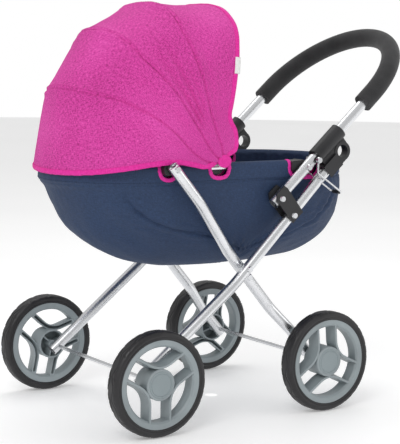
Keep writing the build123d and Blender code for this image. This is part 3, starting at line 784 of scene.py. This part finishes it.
def tub_levels():
    """(front, rear, half width, end length, height, hang) from the casing's inner edge to the
    middle of the floor."""
    levels = []
    for i in range(13):
        z = 346.5 + 20.5 * i / 12
        levels.append((-5.8 - 0.9 * i / 12, z))
    for i in range(1, 15):
        turn = math.pi * (1 - i / 14)
        levels.append((6.7 * math.cos(turn), RING_Z + 6.7 * math.sin(turn)))
    for i in range(1, 13):
        levels.append((6.7 - 0.9 * i / 12, RING_Z - 21.5 * i / 12))
    result = [(RING_FRONT - n, RING_REAR + n, RING_SIDE + n, RING_SIDE + n, z, 0.0) for n, z in levels]
    low = list(reversed(TUB))
    for i in range(1, 58):
        z = 345.5 - 129.5 * (1 - math.cos(math.pi / 2 * i / 57)) ** 0.55 * (i / 57) ** 0.2
        front, rear, width = (table(z, [(row[0], row[k]) for row in low]) for k in (1, 2, 3))
        sink = smooth01((345 - z) / 129)
        bend = width + ((rear - front) / 2 * 0.93 - width) * sink ** 1.4
        result.append((front, rear, width, bend, z, (345.5 - z) / 129.5))
    front, rear, width, bend, z, _ = result[-1]
    middle = (front + rear) / 2
    for i in range(1, 13):
        share = 1 - i / 12.3
        result.append((middle + (front - middle) * share, middle + (rear - middle) * share, width * share,
                       bend * share, z - 2.4 * (1 - share ** 2), 1.0))
    return result


LEVELS = tub_levels()
OUTER = 26  # the first level on the casing's outer side
SEAM_LEVEL = 38  # where casing and tub are sewn together


def tub_wrinkle(u, level):
    """How far the cloth stands off its smooth shape, in mm."""
    z, hang = LEVELS[level][4], LEVELS[level][5]
    rear = hump(u, 0.5, 0.115)
    front = hump(u, 0.0, 0.10) + hump(u, 1.0, 0.10)
    loop = Vector((math.cos(2 * math.pi * u), math.sin(2 * math.pi * u), 0))
    gather = noise.noise(loop * 21.0 + Vector((0, 0, 4.2)))
    top = 1.0 if level < SEAM_LEVEL else math.exp(-(345.5 - z) / 34)
    offset = (0.35 + 2.4 * rear + 0.5 * front) * gather * top
    offset += 1.0 * hump(z, 351.0, 5.0) * (level >= OUTER) - 1.3 * hump(z, 345.6, 1.3) * (level > OUTER)
    body = smooth01(hang * 5) * (1 - 0.7 * smooth01((hang - 0.9) / 0.1))
    offset += body * (3.0 * noise.noise(loop * 2.6 + Vector((0, 0, hang * 2.4)))
                      + 1.5 * noise.noise(loop * 6.5 + Vector((3, 0, hang * 4.5)))
                      + 0.5 * noise.noise(loop * 15 + Vector((7, 0, hang * 11))))
    for spot, height, width, tall, depth, lean in FOLDS_TUB:
        for middle in (spot, 1 - spot - 0.012):
            across = (u - middle - lean * (hang - height)) / width
            offset += depth * math.exp(-across * across) * hump(hang, height, tall) * body
    for line, side in ((SEAM_NEAR, 1), (SEAM_FAR, -1)):
        gap = seam_gap(line, u, hang)
        pucker = noise.noise(Vector((u * 70, hang * 24, side * 2.0)))
        offset += body * (-2.4 * math.exp(-(gap / 0.0030) ** 2)
                          + 1.2 * math.exp(-((gap - 0.008) / 0.005) ** 2)
                          + 2.6 * pucker * math.exp(-(gap / 0.03) ** 2))
    return offset


def seam_gap(line, u, hang):
    """Distance in the (u, 0.3 hang) plane to the sewn line between an end panel and a side panel."""
    best = 9.0
    for (u0, h0), (u1, h1) in zip(line, line[1:]):
        ax, ay, bx, by = u0, 0.3 * h0, u1, 0.3 * h1
        px, py = u - ax, 0.3 * hang - ay
        t = min(1.0, max(0.0, (px * (bx - ax) + py * (by - ay)) / ((bx - ax) ** 2 + (by - ay) ** 2 + 1e-12)))
        best = min(best, math.hypot(px - t * (bx - ax), py - t * (by - ay)))
    return best


# The sewn line on the near side, as (place round the tub, how far down it is).
SEAM_NEAR = [(0.098, 0.0), (0.100, 0.18), (0.108, 0.34), (0.122, 0.48), (0.150, 0.62), (0.185, 0.72),
             (0.225, 0.78), (0.27, 0.80), (0.32, 0.76), (0.36, 0.66), (0.385, 0.5), (0.397, 0.3),
             (0.402, 0.0)]
SEAM_FAR = [(1 - u, h) for u, h in SEAM_NEAR]
# Tension folds: place, height, width, tallness, depth in mm, lean.
FOLDS_TUB = [(0.108, 0.33, 0.009, 0.10, -2.6, 0.10), (0.128, 0.42, 0.008, 0.09, 2.4, 0.12),
             (0.147, 0.55, 0.008, 0.08, -2.2, 0.16), (0.172, 0.68, 0.007, 0.06, -2.2, 0.2),
             (0.186, 0.72, 0.006, 0.05, 1.8, 0.2), (0.235, 0.25, 0.02, 0.22, -1.5, 0.05),
             (0.300, 0.35, 0.02, 0.25, 1.6, -0.06), (0.345, 0.45, 0.014, 0.2, -1.8, -0.10),
             (0.075, 0.5, 0.014, 0.2, -1.6, 0.03), (0.04, 0.45, 0.012, 0.22, 1.5, 0.0)]


def tub_base(u, level):
    front, rear, width, bend, z, _ = LEVELS[level]
    x, y = around(u % 1.0, front, rear, width, bend)
    return Vector((x, y, z))


def tub_point(u, level, lift=0.0):
    """A point of the basket cloth; lift is how far outside it, in mm."""
    here = tub_base(u, level)
    along = tub_base(u + 0.0015, level) - tub_base(u - 0.0015, level)
    down = tub_base(u, min(level + 1, len(LEVELS) - 1)) - tub_base(u, max(level - 1, 0))
    out = down.cross(along)
    out = out.normalized() if out.length > 1e-9 else Vector((0, 0, -1))
    offset = tub_wrinkle(u, level) + lift
    if level < OUTER:  # the casing's inner side moves with its outer side
        offset = -tub_wrinkle(u, level) * (1 if level < 13 else 0) + lift
    point = here + out * offset
    return Vector((MID_X + point.x * MM, point.y * MM, point.z * MM))


def in_cut(x, z):
    """Whether a place on the casing's sides lies in one of the U-shaped gaps."""
    for middle, width, bottom in CUTS:
        half, curve = width / 2, min(width / 2, 13.0)
        if z > bottom and abs(x - middle) < half:
            rise = bottom + curve - z
            if rise <= 0 or abs(x - middle) < half - curve + math.sqrt(max(0.0, curve ** 2 - rise ** 2)):
                return True
    return False


def make_tub():
    columns = [j / TUB_COLUMNS for j in range(TUB_COLUMNS)]
    rows = [[tub_point(u, level) for u in columns] for level in range(len(LEVELS))]

    def keep(i, j):
        u = (j + 0.5) / TUB_COLUMNS
        on_side = 0.13 < u < 0.37 or 0.63 < u < 0.87
        middle = tub_base(u, i).lerp(tub_base(u, i + 1), 0.5)
        return not (i < SEAM_LEVEL and on_side and in_cut(middle.x, middle.z))

    cloth = grid("basket_cloth", rows, NAVY, closed=True, keep=keep)
    tidy(cloth)
    solidify(cloth, CLOTH_THICK)
    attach(cloth, "basket")
    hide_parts("basket_fabric")
    return cloth


def cut_tape(name, side, cut):
    """The pink tape round one gap in the casing: down the outside, round the ring and up inside."""
    middle, width, bottom = cut
    half, curve = width / 2, min(width / 2, 13.0)
    shape = [(0, bottom), (-half + curve * 0.7, bottom + curve * 0.08),
             (-half + curve * 0.25, bottom + curve * 0.36), (-half, bottom + curve)]
    if half - curve > 4:
        shape.insert(1, (-(half - curve), bottom))
    left = [(x, 7.0, z) for x, z in shape] + [(-half, 7.1, 366), (-half, 5.4, 371.5), (-half, 0, 374.1),
                                               (-half, -5.4, 371.5), (-half, -7.1, 366)]
    left += [(x, -7.0, z) for x, z in reversed(shape)]
    right = [(-x, n, z) for x, n, z in reversed(left[1:-1])]
    points = [Vector((MID_X + (middle + x) * MM, side * (RING_SIDE + n) * MM, z * MM))
              for x, n, z in left + right]
    path = curve_points(points, 150, closed=True)

    def outward(i):
        p = path[i]
        lateral = (p.y * side / MM - RING_SIDE)
        return Vector((0, side * lateral, max(0.0, p.z / MM - RING_Z)))

    piece = tape(name, path, outward, 0.0031, 0.0012, BINDING, closed=True, ripple=0.25, seed=middle + side)
    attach(piece, "basket")
    return piece


tub = make_tub()
cut_tapes = [cut_tape(f"gap_tape_{name}_{number}", side, cut)
             for side, name in ((-1, "near"), (1, "far")) for number, cut in enumerate(CUTS, start=1)]


# ---------------------------------------------------------------- stitches
STITCH_GAP = 0.0012
THREAD_LIFT = 0.75


def stitch_row(name, path, normals, length, gap, radius, material):
    """A row of short threads along a path, each sunk at its ends."""
    verts, faces = [], []
    step = length + gap
    distances = [0.0]
    for a, b in zip(path, path[1:]):
        distances.append(distances[-1] + (b - a).length)

    def spot(distance):
        for k in range(len(path) - 1):
            if distances[k + 1] >= distance:
                t = (distance - distances[k]) / max(1e-9, distances[k + 1] - distances[k])
                return path[k].lerp(path[k + 1], t), normals[k]
        return path[-1], normals[-1]

    for count in range(int(distances[-1] / step)):
        start, n0 = spot(count * step)
        end, n1 = spot(count * step + length)
        normal = (n0 + n1).normalized()
        forward = (end - start).normalized()
        side = forward.cross(normal).normalized()
        base = len(verts)
        for share, size, rise in ((0.0, 0.35, -0.4), (0.2, 1.0, 0.5), (0.8, 1.0, 0.5), (1.0, 0.35, -0.4)):
            for k in range(6):
                angle = math.pi * k / 3
                verts.append(start.lerp(end, share) + side * radius * size * math.cos(angle)
                             + normal * radius * (size * math.sin(angle) + rise))
        for ring in range(base, base + 18, 6):
            for k in range(6):
                m = (k + 1) % 6
                faces.append((ring + k, ring + m, ring + 6 + m, ring + 6 + k))
        faces.append(tuple(base + k for k in range(5, -1, -1)))
        faces.append(tuple(base + 18 + k for k in range(6)))
    return new_piece(name, verts, faces, material, uvs=[(v.x, v.z) for v in verts])


def tub_line(level, lift, start=0.0, stop=1.0, count=700):
    us = [start + (stop - start) * i / (count - 1) for i in range(count)]
    line = [tub_point(u, level, lift) for u in us]
    out = [(tub_point(u, level, lift + 1.0) - p).normalized() for u, p in zip(us, line)]
    return line, out


casing_line, casing_out = tub_line(SEAM_LEVEL - 2, THREAD_LIFT)
casing_stitches = stitch_row("casing_stitches", casing_line, casing_out, 0.0028, STITCH_GAP, 0.00032,
                             NAVY_THREAD)
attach(casing_stitches, "basket")


# ---------------------------------------------------------------- pad on the board
PAD_SIZE = (0.262, 0.104, 0.007)
PAD_VOXEL = 0.005
CHANNELS = [k * 0.044 for k in (-2.5, -1.5, -0.5, 0.5, 1.5, 2.5)]


def pad_shape(length, width, height, middle):
    """A closed low block with rounded corners, to be swollen by the simulation."""
    bm = bmesh.new()
    corner, ring = 0.048, []
    for cx, cy, start in ((1, 1, 0), (-1, 1, 90), (-1, -1, 180), (1, -1, 270)):
        for k in range(9):
            turn = math.radians(start + 90 * k / 8)
            ring.append((cx * (length / 2 - corner) + corner * math.cos(turn),
                         cy * (width / 2 - corner) + corner * math.sin(turn)))
    levels = []
    for z, grow in ((-height / 2, 0.985), (0.0, 1.0), (height / 2, 0.985)):
        levels.append([bm.verts.new((middle.x + x * grow, middle.y + y * grow, middle.z + z))
                       for x, y in ring])
    for low, high in zip(levels, levels[1:]):
        for k in range(len(ring)):
            m = (k + 1) % len(ring)
            bm.faces.new((low[k], low[m], high[m], high[k]))
    bm.faces.new(list(reversed(levels[0])))
    bm.faces.new(levels[-1])
    mesh = bpy.data.meshes.new("pad")
    bm.to_mesh(mesh)
    bm.free()
    pad = bpy.data.objects.new("floor_pad", mesh)
    bpy.context.scene.collection.objects.link(pad)
    mesh.materials.append(NAVY)
    return pad


def swell(pad, voxel, pressure, cap):
    """Blows the pad up a little with a cloth simulation, capped, and keeps the result."""
    pad.modifiers.new("remesh", "REMESH").voxel_size = voxel
    apply_all(pad)
    rest = [v.co.copy() for v in pad.data.vertices]
    cloth = pad.modifiers.new("cloth", "CLOTH")
    cloth.settings.use_pressure = True
    cloth.settings.uniform_pressure_force = pressure
    cloth.settings.effector_weights.gravity = 0
    scene = bpy.context.scene
    for step in range(1, 21):
        scene.frame_set(step)
    apply_all(pad)
    for vertex, start in zip(pad.data.vertices, rest):
        move = vertex.co - start
        if move.length > cap:
            vertex.co = start + move.normalized() * cap
    scene.frame_set(1)


def quilt(pad, middle, depth):
    """Sewn channels across the pad, and a flat underside on the board."""
    for vertex in pad.data.vertices:
        x, z = vertex.co.x - middle.x, vertex.co.z - middle.z
        if z > 0:
            channel = min(abs(x - line) for line in CHANNELS)
            vertex.co.z -= depth * math.exp(-(channel / 0.0035) ** 2) * smooth01(z / 0.003)
        vertex.co.z = max(vertex.co.z, board_top + 0.0004)


board_low, board_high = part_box("basket_board")
board_top = board_high.z
pad_middle = Vector(((board_low.x + board_high.x) / 2, 0, board_top + 0.0068))
floor_pad = pad_shape(*PAD_SIZE, pad_middle)
swell(floor_pad, PAD_VOXEL, pressure=4.0, cap=0.005)
floor_pad.modifiers.new("smooth", "SUBSURF").levels = 1
apply_all(floor_pad)
quilt(floor_pad, pad_middle, depth=0.0026)
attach(floor_pad, "basket")


# ---------------------------------------------------------------- hood stitches
def hood_stitches(name, band, share, material):
    """Stitches along a seam or beside an edge tape, laid on the cloth under them."""
    columns = range(2, HOOD_COLUMNS - 2)
    line = [hood_point(band, c, share, THREAD_LIFT) for c in columns]
    out = [hood_normal(band, c, share) for c in columns]
    piece = stitch_row(name, line, out, 0.0026, STITCH_GAP, 0.00028, material)
    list(hood_band_body(band))
    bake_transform(piece)
    return piece


seam_stitches = [hood_stitches(f"hood_stitches_{band}", band, share, PINK_THREAD)
                 for band, share in ((1, 0.045), (2, 0.045), (3, 0.04))]
